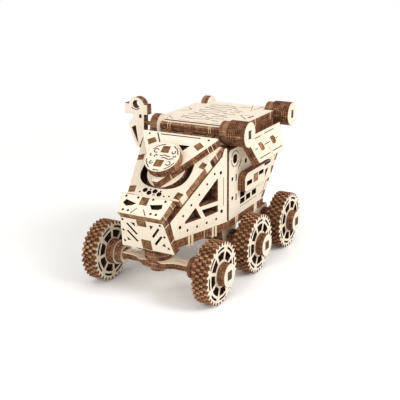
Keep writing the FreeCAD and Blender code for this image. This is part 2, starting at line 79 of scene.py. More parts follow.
def edge(node, axis, side):
    # side 0 is the lowest and 1 the highest coordinate of a CAD node
    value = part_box(node)[side][axis] - (AXLE_Y if axis == 1 else 0.0)
    return value * 1000.0


# ---------------------------------------------------------------- materials
def srgb(r, g, b):
    def lin(c):
        c /= 255.0
        return c / 12.92 if c <= 0.04045 else ((c + 0.055) / 1.055) ** 2.4
    return (lin(r), lin(g), lin(b), 1.0)


WHITE = (1.0, 1.0, 1.0, 1.0)


def start(name):
    m = bpy.data.materials.new(name)
    m.use_nodes = True
    nt = m.node_tree
    for n in list(nt.nodes):
        nt.nodes.remove(n)
    out = nt.nodes.new("ShaderNodeOutputMaterial")
    shader = nt.nodes.new("ShaderNodeBsdfPrincipled")
    nt.links.new(shader.outputs[0], out.inputs[0])
    return m, nt, shader


def feed(nt, value, socket):
    # a socket gets a link, anything else is set as a constant
    if hasattr(value, "links"):
        nt.links.new(value, socket)
    else:
        socket.default_value = value


def noise(nt, source, stretch, detail, rough=0.55):
    # source is in millimetres, and stretch is how often the noise changes per millimetre
    mapping = nt.nodes.new("ShaderNodeMapping")
    mapping.inputs["Scale"].default_value = (stretch[0], stretch[1], 1.0)
    nt.links.new(source, mapping.inputs["Vector"])
    n = nt.nodes.new("ShaderNodeTexNoise")
    n.inputs["Scale"].default_value = 1.0
    n.inputs["Detail"].default_value = detail
    n.inputs["Roughness"].default_value = rough
    nt.links.new(mapping.outputs[0], n.inputs["Vector"])
    return n.outputs["Fac"]


def ramp(nt, source, stops):
    r = nt.nodes.new("ShaderNodeValToRGB")
    r.color_ramp.elements[0].position, r.color_ramp.elements[0].color = stops[0]
    r.color_ramp.elements[1].position, r.color_ramp.elements[1].color = stops[-1]
    for position, colour in stops[1:-1]:
        r.color_ramp.elements.new(position).color = colour
    nt.links.new(source, r.inputs[0])
    return r.outputs[0]


def mix(nt, kind, factor, a, b):
    n = nt.nodes.new("ShaderNodeMix")
    n.data_type = "RGBA"
    n.blend_type = kind
    feed(nt, factor, n.inputs[0])
    feed(nt, a, n.inputs[6])
    feed(nt, b, n.inputs[7])
    return n.outputs[2]


def maths(nt, operation, a, b):
    n = nt.nodes.new("ShaderNodeMath")
    n.operation = operation
    feed(nt, a, n.inputs[0])
    feed(nt, b, n.inputs[1])
    return n.outputs[0]


def bump(nt, shader, height, strength, distance):
    b = nt.nodes.new("ShaderNodeBump")
    b.inputs["Strength"].default_value = strength
    b.inputs["Distance"].default_value = distance
    nt.links.new(height, b.inputs["Height"])
    nt.links.new(b.outputs[0], shader.inputs["Normal"])


def wood_uv(nt):
    uv = nt.nodes.new("ShaderNodeUVMap")
    uv.uv_map = "wood"
    return uv.outputs[0]


def grain(name, pale, mid, dark, rough=0.62):
    # sanded birch veneer: long fine grain, short darker pores and slow changes of tone
    m, nt, shader = start(name)
    uv = wood_uv(nt)
    slow = noise(nt, uv, (0.012, 0.10), 2.0)
    fine = noise(nt, uv, (0.10, 2.6), 4.0, 0.65)
    pores = noise(nt, uv, (0.45, 6.0), 1.0)
    colour = ramp(nt, slow, [(0.30, mid), (0.62, pale)])
    colour = mix(nt, "MULTIPLY", 1.0, colour, ramp(nt, fine, [(0.28, srgb(232, 222, 206)), (0.60, WHITE)]))
    colour = mix(nt, "MULTIPLY", 0.5, colour, ramp(nt, pores, [(0.22, dark), (0.38, WHITE)]))
    nt.links.new(colour, shader.inputs["Base Color"])
    shader.inputs["Roughness"].default_value = rough
    shader.inputs["Specular IOR Level"].default_value = 0.25
    bump(nt, shader, fine, 0.25, 0.00006)
    return m


def burnt(name, dark, mid, light, layer=3.0, along=0.85):
    # laser-cut edge: u runs along the cut and v across the sheets, each layer mm thick; the veneers
    # glued into a sheet show as bands, and along is how often the streaks change per millimetre of u
    m, nt, shader = start(name)
    uv = wood_uv(nt)
    streak = noise(nt, uv, (along, 0.16), 4.0, 0.72)
    patch = noise(nt, uv, (0.14, 0.20), 2.0)
    split = nt.nodes.new("ShaderNodeSeparateXYZ")
    nt.links.new(uv, split.inputs[0])
    wave = maths(nt, "PINGPONG", split.outputs[1], layer / 2.0)
    glue, core = srgb(150, 128, 112), srgb(252, 249, 244)
    veneer = ramp(nt, wave, [(0.0, glue), (0.28, glue), (0.36, core), (0.8, core),
                             (1.0, srgb(212, 200, 188))])
    colour = ramp(nt, streak, [(0.34, dark), (0.50, mid), (0.66, light)])
    colour = mix(nt, "MULTIPLY", 0.45, colour, veneer)
    colour = mix(nt, "MULTIPLY", 0.9, colour, ramp(nt, patch, [(0.34, srgb(186, 168, 154)), (0.60, WHITE)]))
    nt.links.new(colour, shader.inputs["Base Color"])
    shader.inputs["Roughness"].default_value = 0.7
    shader.inputs["Specular IOR Level"].default_value = 0.2
    bump(nt, shader, streak, 0.5, 0.00012)
    return m


# slots of every piece, in the order of WOOD
FACE, BURN_AND_SHADE, DARK, CUT, TENON, TAB, BAR, WARM, TIP_HIGHLIGHT = range(9)
WOOD = [
    grain("birch_face", srgb(249, 238, 222), srgb(245, 232, 213), srgb(208, 182, 150)),
    # burnt cut edges, and also painted shade on inner birch faces
    burnt("burnt_edge_and_shade", srgb(78, 45, 29), srgb(136, 92, 65), srgb(190, 146, 110)),
    # charred seams and pockets, and also painted shade on the slanted plate's hole walls
    burnt("charred_joint_and_shade", srgb(46, 29, 20), srgb(70, 45, 32), srgb(102, 70, 50)),
    grain("engraved_floor", srgb(96, 76, 56), srgb(74, 56, 41), srgb(56, 40, 28), 0.85),
    burnt("tenon_end", srgb(74, 50, 30), srgb(142, 104, 68), srgb(198, 158, 114), 1.5, 1.3),
    grain("light_tab", srgb(244, 227, 200), srgb(234, 212, 180), srgb(198, 164, 124)),
    burnt("bar_end", srgb(56, 48, 38), srgb(88, 78, 62), srgb(124, 110, 90), 1.5),
    burnt("light_edge", srgb(112, 76, 50), srgb(170, 128, 92), srgb(222, 184, 144), 1.5),
    # burnt streaks whose pale end is a painted highlight on the wheels' tooth tips
    burnt("burnt_tread_highlight", srgb(92, 52, 34), srgb(180, 128, 92), srgb(252, 214, 172), 3.0, 1.7),
]


# ---------------------------------------------------------------- mesh code
PLY, DOUBLE = 3, 6                   # one sheet, and the usual two glued together
TAB_REACH = 1.5                      # how far off the outline a tab may be drawn
SMOOTH_ANGLE = math.radians(24.0)


def unit(v):
    return Vector(v).normalized()


class Frame:
    # a drawing plane: a and b are millimetres along u and v, and c is the level above it
    def __init__(self, origin, u, v):
        self.o, self.u, self.v = Vector(origin), unit(u), unit(v)
        self.n = self.u.cross(self.v)

    def at(self, a, b, c):
        p = self.o + self.u * a + self.v * b + self.n * c
        return Vector((p.x / 1000.0, p.y / 1000.0 + AXLE_Y, p.z / 1000.0))


def area(loop):
    return 0.5 * sum(p[0] * q[1] - q[0] * p[1] for p, q in zip(loop, loop[1:] + loop[:1]))


def turned(loop, ccw=True):
    return list(loop) if (area(loop) > 0) == ccw else list(reversed(loop))


def inset(loop, d):
    # moves every corner to its left, into the material
    out = []
    for i, p in enumerate(loop):
        a, b = loop[i - 1], loop[(i + 1) % len(loop)]
        d1 = Vector((p[0] - a[0], p[1] - a[1])).normalized()
        d2 = Vector((b[0] - p[0], b[1] - p[1])).normalized()
        n1, n2 = Vector((-d1.y, d1.x)), Vector((-d2.y, d2.x))
        m = (n1 + n2) / max(0.35, 1.0 + n1.dot(n2))
        out.append((p[0] + m.x * d, p[1] + m.y * d))
    return out


def arc(cx, cy, r, a0, a1, steps):
    return [(cx + r * math.cos(math.radians(a0 + (a1 - a0) * i / steps)),
             cy + r * math.sin(math.radians(a0 + (a1 - a0) * i / steps))) for i in range(steps + 1)]


def ring(cx, cy, r, steps=48):
    return arc(cx, cy, r, 0.0, 360.0 * (steps - 1) / steps, steps - 1)


def rounded(half, down, up, cy, power, steps=96):
    # a closed curve between a circle (power 2) and a square
    out = []
    for i in range(steps):
        a = 2.0 * math.pi * (i + 0.5) / steps
        x, y = math.cos(a), math.sin(a)
        out.append((half * math.copysign(abs(x) ** (2.0 / power), x),
                    cy + (up if y > 0 else down) * math.copysign(abs(y) ** (2.0 / power), y)))
    return out


def rect(x0, y0, x1, y1):
    return [(x0, y0), (x1, y0), (x1, y1), (x0, y1)]


def stroke(points, width):
    # an open engraved line as a closed outline
    left, right = [], []
    for i, p in enumerate(points):
        a, b = points[max(i - 1, 0)], points[min(i + 1, len(points) - 1)]
        d = Vector((b[0] - a[0], b[1] - a[1])).normalized() * (width / 2.0)
        left.append((p[0] - d.y, p[1] + d.x))
        right.append((p[0] + d.y, p[1] - d.x))
    return left + list(reversed(right))


def soft(loop, r, steps=4):
    # the same outline with rounded corners
    out = []
    for i, p in enumerate(loop):
        p, a, b = Vector(p), Vector(loop[i - 1]), Vector(loop[(i + 1) % len(loop)])
        cut = min(r, (a - p).length * 0.45, (b - p).length * 0.45)
        s, e = p + (a - p).normalized() * cut, p + (b - p).normalized() * cut
        for k in range(steps + 1):
            t = k / steps
            q = s * (1 - t) ** 2 + p * 2 * t * (1 - t) + e * t * t
            out.append((q.x, q.y))
    return out


# A pocket is an outline, its depth, and the materials of its floor and walls.
def hole(points, depth=1.2, floor=DARK):
    return (points, depth, floor, DARK)


def line(points, width=0.6):
    return (stroke(points, width), 0.3, CUT, CUT)


def dot(x, y, r=0.6):
    return (ring(x, y, r, 10), 1.2, DARK, DARK)


def tenon(points):
    return (points, 0.22, TENON, DARK)


class Piece:
    # one visible piece: plates are added to it, and done() makes the object
    def __init__(self, name):
        self.name, self.co, self.faces, self.mats, self.uvs = name, [], [], [], []
        self.flip = False                                     # True mirrors it to the left side
        self.shift = sum(ord(c) for c in name) % 97 * 3.1     # its own place in the grain

    def vert(self, p):
        self.co.append((-p.x, p.y, p.z) if self.flip else tuple(p))
        return len(self.co) - 1

    def face(self, idx, mat, uv):
        if self.flip:
            idx, uv = list(reversed(idx)), list(reversed(uv))
        self.faces.append(idx)
        self.mats.append(mat)
        self.uvs.extend(uv)

    def tag(self, loop, tabs, side):
        # splits the outline where a tab (p, q, material) lies along it, and gives each stretch its
        # material: side is one material, or a list that repeats round the outline
        marks = [side] * len(loop) if isinstance(side,
                                                 int) else [side[i % len(side)] for i in range(len(loop))]
        for p, q, mat in tabs:
            p, q = Vector(p), Vector(q)
            best = None
            for i, a in enumerate(loop):
                a, b = Vector(a), Vector(loop[(i + 1) % len(loop)])
                if (b - a).length < 1e-6:
                    continue
                d = (b - a).normalized()
                off = max(abs((p - a).cross(d)), abs((q - a).cross(d)))
                s = sorted(((p - a).dot(d), (q - a).dot(d)))
                if s[0] > -0.05 and s[1] < (b - a).length + 0.05 and (best is None or off < best[0]):
                    best = (off, i, s, d, a)
            if best is None or best[0] > TAB_REACH:
                continue
            off, i, s, d, a = best
            length = (Vector(loop[(i + 1) % len(loop)]) - a).length
            s = (max(s[0], 0.02), min(s[1], length - 0.02))
            new = [tuple(a + d * s[0]), tuple(a + d * s[1])]
            loop[i + 1:i + 1] = new
            marks[i + 1:i + 1] = [mat, marks[i]]
        return loop, marks

    def cap(self, frame, loops, pockets, z, up, mat, swap):
        # closes one side of a plate; loops: (outline, vertex numbers), the first is the outside
        flat, index, faces = [], [], []
        for pts, idx in loops:
            span = list(range(len(flat), len(flat) + len(pts)))
            faces.append(span if area(pts) > 0 else span[::-1])
            flat += pts
            index += idx
        inner = len(faces)
        deep = {}
        for pts, depth, floor, wall in pockets:
            pts = turned(pts)
            idx = [self.vert(frame.at(a, b, z)) for a, b in pts]
            sunk = [self.vert(frame.at(a, b, z - depth if up else z + depth)) for a, b in pts]
            for i in range(len(pts)):
                j = (i + 1) % len(pts)
                quad = [idx[j], idx[i], sunk[i], sunk[j]]
                uv = [(i + 1.0, 0), (i, 0), (i, depth), (i + 1.0, depth)]
                self.face(quad if not up else list(reversed(quad)), wall,
                          uv if not up else list(reversed(uv)))
            deep[len(faces)] = (dict(zip(range(len(flat), len(flat) + len(pts)), sunk)), floor)
            faces.append(list(range(len(flat), len(flat) + len(pts))))
            flat += pts
            index += idx
        _, _, tris, orig, _, owner = delaunay_2d_cdt([Vector(p) for p in flat], [], faces, 1, 1e-5)
        for tri, own in zip(tris, owner):
            own = sorted(own)
            if not own or own[0] != 0 or any(0 < k < inner for k in own):
                continue
            ids = [orig[t][0] if orig[t] else None for t in tri]
            if None in ids:
                continue
            pocket = [k for k in own if k >= inner]
            kind = mat
            if pocket:
                table, kind = deep[pocket[0]]
                nums = [table.get(i) for i in ids]
                if None in nums:
                    continue
            else:
                nums = [index[i] for i in ids]
            p = [flat[i] for i in ids]
            ccw = (p[1][0] - p[0][0]) * (p[2][1] - p[0][1]) - (p[1][1] - p[0][1]) * (p[2][0] - p[0][0]) > 0
            if ccw != up:
                nums.reverse()
                p.reverse()
            uv = [(b + self.shift, a) if swap else (a + self.shift, b) for a, b in p]
            self.face(nums, kind, uv)

    def plate(self, frame, outline, z0, z1, holes=(), top=(), bottom=(), tabs=(), swap=False, layer=3.0,
              bevel=0.14, seam=0.26, faces=FACE, low_faces=None, side=BURN_AND_SHADE, seams=None, hole_side=None,
              chamfer=None):
        # a stack of glued sheets from level z0 to z1: top and bottom are the pockets of the two faces,
        # swap turns their grain, and seams are the levels where two sheets meet
        loop, marks = self.tag(turned(outline), tabs, side)
        inside = hole_side if hole_side is not None else DARK if side == BURN_AND_SHADE else side
        loops = [(loop, marks)] + [(turned(h, False), [inside] * len(h)) for h in holes]
        # levels: height, inset and kind, where kind 2 starts a seam
        levels = [(z1, bevel, 0), (z1 - bevel, 0.0, 1)]
        count = int(round((z1 - z0) / layer))
        cuts = seams if seams is not None else [z1 - (z1 - z0) * k / count for k in range(1, count)]
        for s in cuts:
            levels += [(s + seam * 0.7, 0.0, 2), (s, seam, 2), (s - seam * 0.7, 0.0, 1)]
        levels += [(z0 + bevel, 0.0, 0), (z0, bevel, 0)]
        ends = {0: [], len(levels) - 1: []}
        for pts, kinds in loops:
            length = [0.0]
            for i in range(len(pts)):
                a, b = pts[i], pts[(i + 1) % len(pts)]
                length.append(length[-1] + math.hypot(b[0] - a[0], b[1] - a[1]))
            rows = []
            for k, (z, d, _) in enumerate(levels):
                flat = inset(pts, d) if d else pts
                rows.append([self.vert(frame.at(a, b, z)) for a, b in flat])
                if k in ends:
                    ends[k].append((flat, rows[-1]))
            for k in range(len(levels) - 1):
                za, zb = levels[k][0] - z0, levels[k + 1][0] - z0
                for i in range(len(pts)):
                    j = (i + 1) % len(pts)
                    kind = kinds[i]
                    if levels[k][2] == 2 and kind == BURN_AND_SHADE:
                        kind = DARK
                    if chamfer is not None and kind == BURN_AND_SHADE and k in (0, len(levels) - 2):
                        kind = chamfer[k > 0]
                    s0, s1 = length[i] + self.shift, length[i + 1] + self.shift
                    self.face([rows[k][j], rows[k][i], rows[k + 1][i], rows[k + 1][j]], kind,
                              [(s1, za), (s0, za), (s0, zb), (s1, zb)])
        self.cap(frame, ends[0], top, z1, True, faces, swap)
        self.cap(frame, ends[len(levels) - 1], bottom, z0, False, faces if low_faces is None else low_faces,
                 swap)

    def done(self, body, *nodes):
        me = bpy.data.meshes.new(self.name)
        me.from_pydata(self.co, [], self.faces)
        layer = me.uv_layers.new(name="wood")
        layer.data.foreach_set("uv", [c for uv in self.uvs for c in uv])
        for m in WOOD:
            me.materials.append(m)
        me.polygons.foreach_set("material_index", self.mats)
        me.shade_smooth()
        me.set_sharp_from_angle(angle=SMOOTH_ANGLE)
        me.validate()
        me.update()
        ob = bpy.data.objects.new(self.name, me)
        bpy.context.scene.collection.objects.link(ob)
        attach(ob, body)
        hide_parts(*nodes)


def pair(name, body, build):
    # the same piece on both sides
    for side in ("right", "left"):
        p = Piece(side + "_" + name + "_ply")
        p.flip = side == "left"
        build(p)
        p.done(body, side + "_" + name)


LEVEL = Frame((0, 0, 0), (1, 0, 0), (0, 1, 0))
SIDE = Frame((0, 0, 0), (0, 1, 0), (0, 0, 1))      # drawn in y and z, level is x
CROSS = Frame((0, 0, 0), (1, 0, 0), (0, 0, 1))     # drawn in x and z, level is -y


# ---------------------------------------------------------------- sizes read from the frame
MIDDLE_Y, REAR_Y = mid_y("middle_right_wheel"), mid_y("rear_right_wheel")
BOX_X = edge("right_rear_wall", 0, 1)
ROOF = edge("roof_plate", 2, 1)
BAR_Y, REAR_BAR_Y = mid_y("right_front_disc"), mid_y("right_rear_disc")
BAR_Z = (edge("right_front_disc", 2, 0) + edge("right_front_disc", 2, 1)) / 2.0
DISC_X0, DISC_X1 = edge("right_front_disc", 0, 0), edge("right_front_disc", 0, 1)
DRUM_X0, DRUM_X1 = edge("front_drum", 0, 0), edge("front_drum", 0, 1)
WHEEL_X0, WHEEL_X1 = edge("front_right_wheel", 0, 0), edge("front_right_wheel", 0, 1)
CAP_X1 = edge("front_caps", 0, 1)
FLOOR0, FLOOR1 = edge("floor_plate", 2, 0), edge("floor_plate", 2, 1)

# the plates' own planes and radii, repeated from the CAD source
TOE_X, TOE = 22.4, 0.2874                # front walls: half width at the front axle, and its growth
TOE_LONG = math.hypot(1.0, TOE)
SLOPE_Z, SLOPE_A = 75.42, math.atan(0.728)
SLOPE_COS, SLOPE_SIN = math.cos(SLOPE_A), math.sin(SLOPE_A)
HOOD_A, WING_A = math.radians(41.9), math.radians(57.0)
WING_X, WING_Z = BOX_X + 6.5, ROOF - 8.2
WALL_TOP, ROOF_LOW = 97.2, ROOF - DOUBLE
# the roof's half width, the front faces of the front rail and the bulkhead, the side rails' rear end
ROOF_X, RAIL_Y, BULKHEAD_Y, RAIL_END = BOX_X + 0.5, 56.2, 46.0, 121.5
# the back: the floor's end, the bend between the two plates and the rear end
BACK_Y, CORNER_Y, CORNER_Z, END_Y = 105.0, 136.0, 75.8, 138.0
DISC_R, DRUM_R, JOURNAL_R, RUN = 8.2, 9.3, 2.5, 0.05
BAR_HALF, MAST_PIN_R = 3.3, 1.5
KEY_Y, KEY_Z = 2.1, 3.0              # the photo shows the key wider than the CAD node has it
HATCH0, HATCH_TOP = 0.3, 46.6        # the hatch's level above the slanted plate, and its upper end
AXLE_HALF, AXLE_R, CAP_R = 3.1, 4.5, 8.5
PIN_Y, PIN_R, WASHER_R = 0.5, 3.0, 9.8
GAP = 0.4                            # play at the wheels' sides, and above and below the beam

SLOPE = Frame((0, 0, SLOPE_Z), (1, 0, 0), (0, SLOPE_COS, SLOPE_SIN))
HOOD = Frame((0, -23.5, 63.6), (1, 0, 0), (0, math.cos(HOOD_A), math.sin(HOOD_A)))
NOSE = Frame((0, -12.6, 35.0), (1, 0, 0), (0, -7.65, 24.5))
TOED = Frame((TOE_X, 0, 0), (TOE, 1, 0), (0, 0, 1))
WING = Frame((WING_X, 0, WING_Z), (0, 1, 0), (math.cos(WING_A), 0, -math.sin(WING_A)))
BACK_LOW = Frame((0, BACK_Y, FLOOR1), (1, 0, 0), (0, 31.0, 31.8))
BACK_UP = Frame((0, CORNER_Y, CORNER_Z), (1, 0, 0), (0, 2.0, 23.2))


def wall_x(y):
    return TOE_X + TOE * y


def mirror(items):
    out = list(items)
    for pts, depth, floor, wall in items:
        out.append(([(-x, y) for x, y in pts], depth, floor, wall))
    return out


def both_x(points):
    return points + [(-x, y) for x, y in reversed(points)]


def both_tabs(items):
    # a tab from one point to another, and its mirror image
    return [((s * x0, y0), (s * x1, y1), mat) for x0, y0, x1, y1, mat in items for s in (1, -1)]


# ---------------------------------------------------------------- hood and nose
hood_marks = [dot(x, y, 0.95) for x, y in ((-16.1, 13.7), (-6.3, 13.8), (5.6, 14.0), (15.3, 14.0),
                                           (-14.0, 2.9), (-9.8, 3.0), (8.2, 3.2), (12.4, 3.2))]
hood_marks += [hole([(-16.4, 8.1), (-14.9, 11.2), (-5.8, 9.0), (-8.5, 7.2), (-12.9, 6.0)], 3.0),
               hole([(4.8, 9.6), (14.2, 11.4), (14.9, 8.4), (12.6, 6.9), (7.6, 6.4)], 3.0),
               tenon([(-3.6, 14.8), (2.7, 14.8), (2.5, 8.5), (-3.7, 8.5)]),
               line([(-3.7, 5.8), (-7.2, 0.9)], .7), line([(1.5, 5.6), (4.8, 0.9)], .7)]
p = Piece("hood_ply")
p.plate(HOOD, both_x([(17.35, 0.0), (20.6, 15.45)]), -DOUBLE, 0, top=hood_marks, side=WARM,
        tabs=both_tabs([(20.0, 12.4, 19.9, 12.0, FACE), (18.2, 3.6, 18.1, 3.2, FACE)]))
p.done("rover", "hood_plate")

nose_marks = [tenon([(-4.4, 25.3), (3.4, 25.3), (3.2, 20.2), (-4.3, 20.2)]),
              tenon([(-4.0, 8.8), (4.0, 8.8), (3.8, 0.4), (-4.2, 0.4)])]
nose_marks += mirror([hole(stroke([(12.9, 20.9), (6.4, 12.4)], 1.7), 2.4),
                      hole(stroke([(13.9, 14.4), (7.2, 6.1)], 1.7), 2.4)])
nose_marks += [hole([(-9.6, 22.2), (-6.3, 22.3), (-6.6, 18.8)]),
               hole([(5.6, 22.2), (8.7, 22.3), (6.2, 18.9)]),
               hole([(-15.8, 8.4), (-15.5, 5.6), (-12.3, 6.0)]),
               hole([(15.0, 8.8), (15.6, 5.8), (12.6, 6.2)])]
nose_marks += [dot(x, y, 1.0) for x, y in ((-15.9, 23.6), (-17.3, 14.3), (-18.2, 4.7), (14.4, 23.8),
                                           (16.1, 14.4), (17.7, 4.8))]
p = Piece("nose_ply")
p.plate(NOSE, both_x([(21.7, 0.0), (17.2, 25.6)]), -DOUBLE, 0, top=nose_marks,
        tabs=both_tabs([(20.1, 9.2, 20.0, 9.7, FACE), (17.9, 21.6, 17.8, 22.1, FACE)]))
p.done("rover", "nose_plate")

# ---------------------------------------------------------------- floor and slanted plate
WALL_TENONS = ((2.9, 4.9), (5.9, 8.0), (26.1, 28.0), (29.1, 31.0))
floor_tabs = both_tabs([(wall_x(a), a, wall_x(b), b, TAB) for a, b in WALL_TENONS + ((18.3, 18.8),)]
                       + [(BOX_X, a, BOX_X, b, TAB) for a, b in ((54.4, 59.6), (88.0, 93.4))])
floor_out = both_x([(wall_x(-7.4), -7.4), (BOX_X, 42.2), (BOX_X, BACK_Y)])
marks = [line([(-20, 46), (20, 46)]), line([(-24, 104), (24, 104)])]
for row in range(4):
    for s in (-1, 1):
        marks.append(hole(soft(rect(s * 11 - 6, 52 + row * 13, s * 11 + 6, 59 + row * 13), 2.0), 1.0, CUT))
p = Piece("floor_ply")
p.plate(LEVEL, floor_out, FLOOR0, FLOOR1, tabs=floor_tabs, bottom=marks, swap=True)
p.done("rover", "floor_plate")

c = SLOPE_COS
slope_out = both_x([(wall_x(-8.2) - 6.4, -8.2 / c), (wall_x(-5.4) - DOUBLE, -5.4 / c),
                    (wall_x(-5.4), -5.4 / c), (wall_x(36.0), 36.0 / c)])
slope_tabs = both_tabs([(wall_x(a), a / c, wall_x(b), b / c, mat) for a, b, mat in (
    (-4.0, 1.3, FACE), (19.6, 24.4, FACE), (24.4, 26.9, DARK), (29.7, 30.2, FACE), (30.2, 35.6, WARM))])
marks = [hole(ring(x, y, 1.95, 18), 2.0) for x, y in ((-8.4, -1.5), (-4.4, -3.3), (-0.4, -1.4), (3.8, -3.3))]
marks += [dot(x, y, 0.75) for x, y in ((-11.8, -3.6), (-4.3, -0.4), (3.9, -0.6), (8.1, -4.3), (11.9, -3.6))]
marks.append(hole(rect(-1.6, -4.9, 1.0, -4.1), .8))
marks += mirror([tenon([(22.7, 24.1), (24.0, 29.4), (28.5, 27.5), (27.3, 22.8)]),
                 tenon([(15.7, -4.6), (16.8, 1.2), (22.0, 0.0), (20.8, -5.5)])])
p = Piece("front_slope_ply")
# painted shade: the round hole's walls take the charred colour, darker than the plate's pale outer edges,
# where the gap round the plug lies in shade
p.plate(SLOPE, slope_out, -DOUBLE, 0, holes=[rounded(19.5, 16.4, 18.6, 18.0, 2.5)], top=marks,
        tabs=slope_tabs, swap=True, side=WARM, hole_side=DARK)
p.done("rover", "front_slope_plate")


# ---------------------------------------------------------------- front walls
def toed(points):
    return [(y * TOE_LONG, z) for y, z in points]


def build_truss(p):
    out = toed([(-13.2, 58.39), (-9.4, FLOOR1), (41.4, FLOOR1), (41.4, 98.8), (40.9, 99.8), (40.1, 100.1),
                (39.0, 99.8), (38.1, 99.0), (36.6, 94.6)])
    windows = [soft(toed(w), 0.5, 3) for w in ([(32.0, 79.6), (32.0, 62.8), (14.4, 62.7), (13.5, 65.0)],
                                               [(31.8, 59.4), (32.0, 54.6), (19.8, 53.7), (16.5, 59.6)],
                                               [(10.4, 63.0), (15.6, 54.0), (0.3, 54.0), (0.2, 55.0)])]
    pts = [(35, 83, 1.35), (29.0, 83.5, .95), (21.6, 77.6, .95), (14, 71.7, .95), (6.4, 66, .95),
           (-1.2, 60.1, .95), (-4.4, 52.6, 1.35),
           (2.5, 48.5, 1.0), (11.6, 48.8, 1.0), (21, 49.0, 1.0), (30.3, 49.3, 1.0), (35.8, 53.8, 1.4)]
    dots = [dot(y * TOE_LONG, z, r) for y, z, r in pts]
    for y0, y1 in WALL_TENONS:
        # their ends stand out 2 mm under the floor
        p.plate(TOED, soft(rect(y0 * TOE_LONG, FLOOR0 - 2.0, y1 * TOE_LONG, FLOOR0), .5, 2), -DOUBLE, 0,
                faces=TAB, side=TAB, seams=[])
    # painted shade: the inner face takes the burnt-edge colour so the inside of the box reads dark
    p.plate(TOED, out, -DOUBLE, 0, holes=windows, top=dots + [line(toed([(37.7, 57.5), (37.7, 78.9)]), 0.5)],
            low_faces=BURN_AND_SHADE, hole_side=BURN_AND_SHADE)


pair("front_wall", "rover", build_truss)


# ---------------------------------------------------------------- rear walls and side pods
def build_rear(p):
    out = [(43.7, FLOOR1), (BACK_Y, FLOOR1), (CORNER_Y, CORNER_Z), (END_Y, 99), (RAIL_END, 99),
           (RAIL_END, 97), (61.5, 97),
           (60.5, WALL_TOP), (46.6, WALL_TOP), (45.2, 96.9), (44.2, 96.1), (43.7, 94.9)]
    low = [rect(62.8, 56.4, 70.6, 60.9), rect(62.8, 51.4, 70.8, 55.2), rect(73.1, 51.7, 80.7, 55.8),
           rect(83.6, 52.2, 91.2, 56.2)]
    marks = [dot(49.5, 74.7, 1.55), dot(49.5, 60.0, 1.55),
             (rect(54.8, 71.9, 56.6, 77.0), .5, CUT, CUT), (rect(54.8, 56.6, 56.6, 61.9), .5, CUT, CUT),
             dot(72.0, 83.2, 1.95),
             line([(59.0, 80.0), (64.5, 85.6)], .9), line([(61.0, 84.2), (66.3, 88.6)], .5),
             line([(63, 49.4), (92.6, 49.7)], .5),
             hole(stroke([(72.8, 57.9), (80.4, 58.4)], .8), .6),
             hole(stroke([(83.2, 58.3), (91.2, 58.2)], .7), .6),
             dot(98.0, 63.5), dot(101.5, 71.0), dot(108.0, 84.0), dot(121.0, 90.5), dot(128.5, 84.5),
             line([(126.0, 73.0), (130.0, 78.0), (131.2, 90.0)], .7),
             line([(97.5, 49.0), (103.5, 50.0), (114.0, 60.6)], .7)]
    port = [(51.9, 85.8), (55.7, 85.8), (57.0, 87.4), (57.0, 90.6), (55.7, 92.2), (51.9, 92.2), (50.6, 90.6),
            (50.6, 87.4)]
    for a0, a1 in ((20, 84), (96, 158), (178, 258), (272, 332)):
        marks.append(line(arc(53.8, 89.1, 5.9, a0, a1, 10), .8))

    def along(t):
        # a point on the slanted rear edge
        return (BACK_Y + 31 * t, 44 + 31.8 * t)

    for t0, t1 in ((0.02, 0.16), (0.35, 0.68)):
        a, b = along(t0), along(t1)
        marks.append(tenon([(a[0] - 4.6, a[1] + 1.0), (a[0] - .5, a[1] + .35), (b[0] - .5, b[1] + .35),
                            (b[0] - 4.6, b[1] + 1.0)]))
    marks.append(tenon([(125.6, 70.0), (128.6, 69.7), (134.9, 76.2), (135.6, 83.6), (132.8, 83.8),
                        (132.2, 76.9)]))
    tabs = [(along(0.36), along(0.67), TAB), (along(0.8), along(0.97), TAB),
            ((136.2, 78.0), (136.6, 83.2), TAB)]
    # painted shade: the inner face takes the burnt-edge colour so the inside of the box reads dark
    p.plate(SIDE, out, BOX_X - DOUBLE, BOX_X, holes=low + [soft(port, .5, 2)], top=marks, tabs=tabs,
            low_faces=BURN_AND_SHADE)


pair("rear_wall", "rover", build_rear)


def build_pod(p):
    out = [(105.6, 62.3), (60.8, 62.3), (59.2, 63.4), (58.5, 64.8), (58.5, 73.1), (60.2, 75.2), (63, 76.6),
           (105.6, 76.6)]
    marks = [hole(rect(61.6, 66.8, 70.8, 70.2), 3.2), hole(rect(73.4, 66.4, 81.6, 72.9), .3, WARM),
             hole(rect(82.9, 69.5, 91.6, 72.6), 3.2),
             hole([(94.6, 71.0), (101.0, 71.6), (94.4, 65.0)], 1.2, BURN_AND_SHADE),
             hole([(93.6, 74.2), (104.4, 74.7), (105.2, 76.3), (93.2, 76.3)], 2.4)]
    p.plate(SIDE, out, BOX_X, BOX_X + DOUBLE, top=marks)


pair("side_pod", "rover", build_pod)

# ---------------------------------------------------------------- cross walls, back and roof
IN_X = BOX_X - DOUBLE - RUN          # half width between the rear walls
# painted shade: the bulkhead's birch faces take the burnt-edge colour so the inside of the box reads dark
p = Piece("bulkhead_ply")
p.plate(CROSS, rect(-IN_X, FLOOR1, IN_X, WALL_TOP), -BULKHEAD_Y - PLY, -BULKHEAD_Y, faces=BURN_AND_SHADE,
        bottom=[line([(-20, 50), (20, 50)])])
p.done("rover", "bulkhead")

